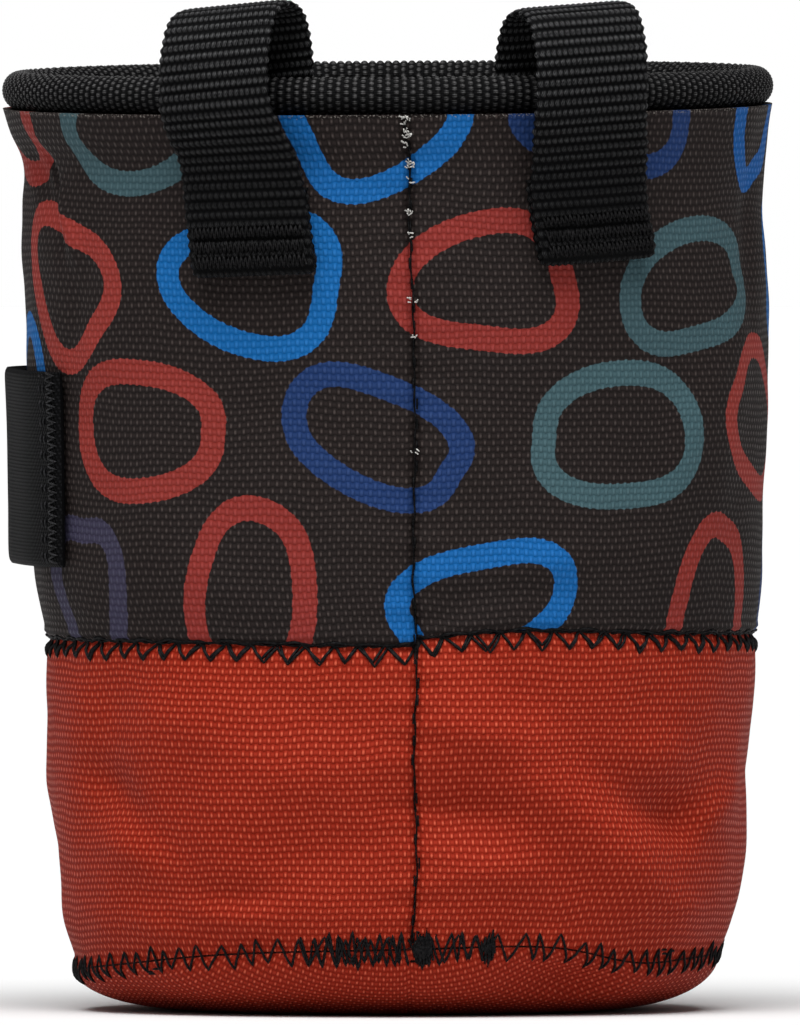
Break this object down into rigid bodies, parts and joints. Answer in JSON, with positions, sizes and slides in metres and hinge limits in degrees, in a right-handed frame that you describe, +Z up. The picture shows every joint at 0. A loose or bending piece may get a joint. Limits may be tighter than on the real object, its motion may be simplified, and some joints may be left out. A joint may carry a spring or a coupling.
{
  "type": "climbing chalk bag",
  "caption": "Soft open-topped climbing chalk bag with a stiff taped rim, webbing belt loops that arch over the rim and an elastic brush loop.",
  "frame": {"origin": "centre of the flat patch that the bag stands on", "axes": "+Z up to the rim, -Y towards the side with the belt loops, +X to the right when that side is looked at"},
  "size_m": [0.1204, 0.1141, 0.1578],
  "materials": {
    "rim_tape": "coarse black woven tape",
    "printed_canvas": "charcoal brown woven polyester canvas, printed",
    "red_cloth": "rust red coarse plain-weave polyester",
    "base_cloth": "rust red coarse plain-weave polyester",
    "webbing": "ribbed black webbing",
    "elastic": "fine twill black elastic band"
  },
  "bodies": {
    "root": {"rim_binding": "rim_tape", "upper_body": "printed_canvas", "lower_body": "red_cloth", "base_panel": "base_cloth", "belt_loop_left": "webbing", "belt_loop_right": "webbing", "brush_loop": "elastic"}
  },
  "joints": []
}
